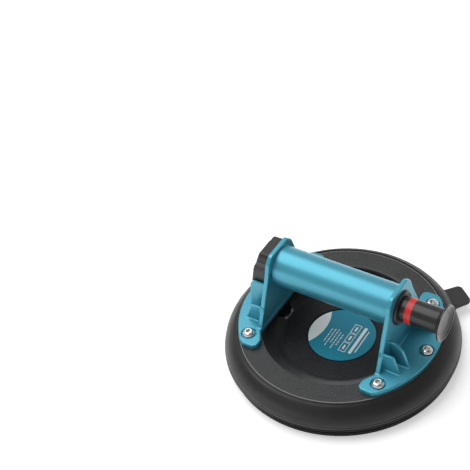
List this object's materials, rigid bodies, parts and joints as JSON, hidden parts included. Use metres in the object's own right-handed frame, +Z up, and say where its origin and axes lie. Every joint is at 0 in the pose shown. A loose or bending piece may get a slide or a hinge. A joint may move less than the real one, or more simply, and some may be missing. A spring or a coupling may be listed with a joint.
{
  "type": "vacuum suction lifter",
  "caption": "Hand vacuum suction lifter for tiles: round rubber cup, backing plate, bracketed tube handle with a push-plunger pump and an end cap.",
  "frame": {"origin": "bottom centre of the cup, in the plane of the sealing lip", "axes": "+Z up from the lip, +X along the handle towards the pump plunger, +Y completes a right-handed frame"},
  "size_m": [0.2032, 0.2032, 0.0952],
  "materials": {
    "pad_rubber": "satin moulded rubber",
    "plate_black": "spark-textured",
    "label": "printed film",
    "blue_paint": "metallic blue, satin gloss",
    "steel": "bright",
    "brass": "turned",
    "black_plastic": "satin moulded",
    "red_mark": "satin",
    "seal_rubber": "smooth",
    "alu": "drawn",
    "white_plastic": "moulded",
    "hose_rubber": "smooth",
    "felt": "felt"
  },
  "bodies": {
    "root": {"rubber_pad": "pad_rubber", "backing_plate": "plate_black", "label_disc": "label", "pump_end_bracket": "blue_paint", "cap_end_bracket": "blue_paint", "bracket_screws": "steel", "threaded_inserts": "brass", "handle_tube": "blue_paint", "gland_collar": "black_plastic", "wiper_seal": "seal_rubber", "end_cap": "black_plastic", "end_cap_panel": "black_plastic", "end_cap_screws": "steel", "pump_cylinder": "alu", "return_spring": "steel", "cylinder_end_plug": "white_plastic", "end_plug_oring": "seal_rubber", "suction_pipe": "alu", "tie_washer": "steel", "tie_nut": "steel", "air_elbow": "black_plastic", "air_hose": "hose_rubber", "port_stem": "black_plastic", "port_oring": "seal_rubber", "port_filter": "felt", "filter_retainer": "black_plastic"},
    "plunger": {"plunger_sleeve": "black_plastic", "indicator_ring": "red_mark", "plunger_knob": "black_plastic", "piston_ring": "white_plastic", "piston_seal": "seal_rubber", "spring_seat": "white_plastic"},
    "exhaust_flap": {"exhaust_valve": "seal_rubber"},
    "inlet_flap": {"inlet_valve": "seal_rubber"},
    "tab": {"release_tab": "pad_rubber"}
  },
  "joints": [
    {"name": "plunger_slide", "type": "slide", "parent": "root", "child": "plunger", "axis": [-1, 0, 0], "range_m": [0, 0.031], "stiffness_N_per_m": 500, "springref_m": -0.02, "deforming": ["return_spring"]},
    {"name": "exhaust_lift", "type": "slide", "parent": "plunger", "child": "exhaust_flap", "axis": [1, 0, 0], "range_m": [0, 0.0008], "stiffness_N_per_m": 150, "springref_m": -0.0004},
    {"name": "inlet_lift", "type": "slide", "parent": "root", "child": "inlet_flap", "axis": [1, 0, 0], "range_m": [0, 0.001], "stiffness_N_per_m": 150, "springref_m": -0.0004},
    {"name": "tab_bend", "type": "hinge", "parent": "root", "child": "tab", "pos_m": [0.06317, 0.08085, 0.0127], "axis": [0.788, -0.6157, 0], "range_deg": [0, 60], "stiffness_Nm_per_rad": 0.05}
  ]
}
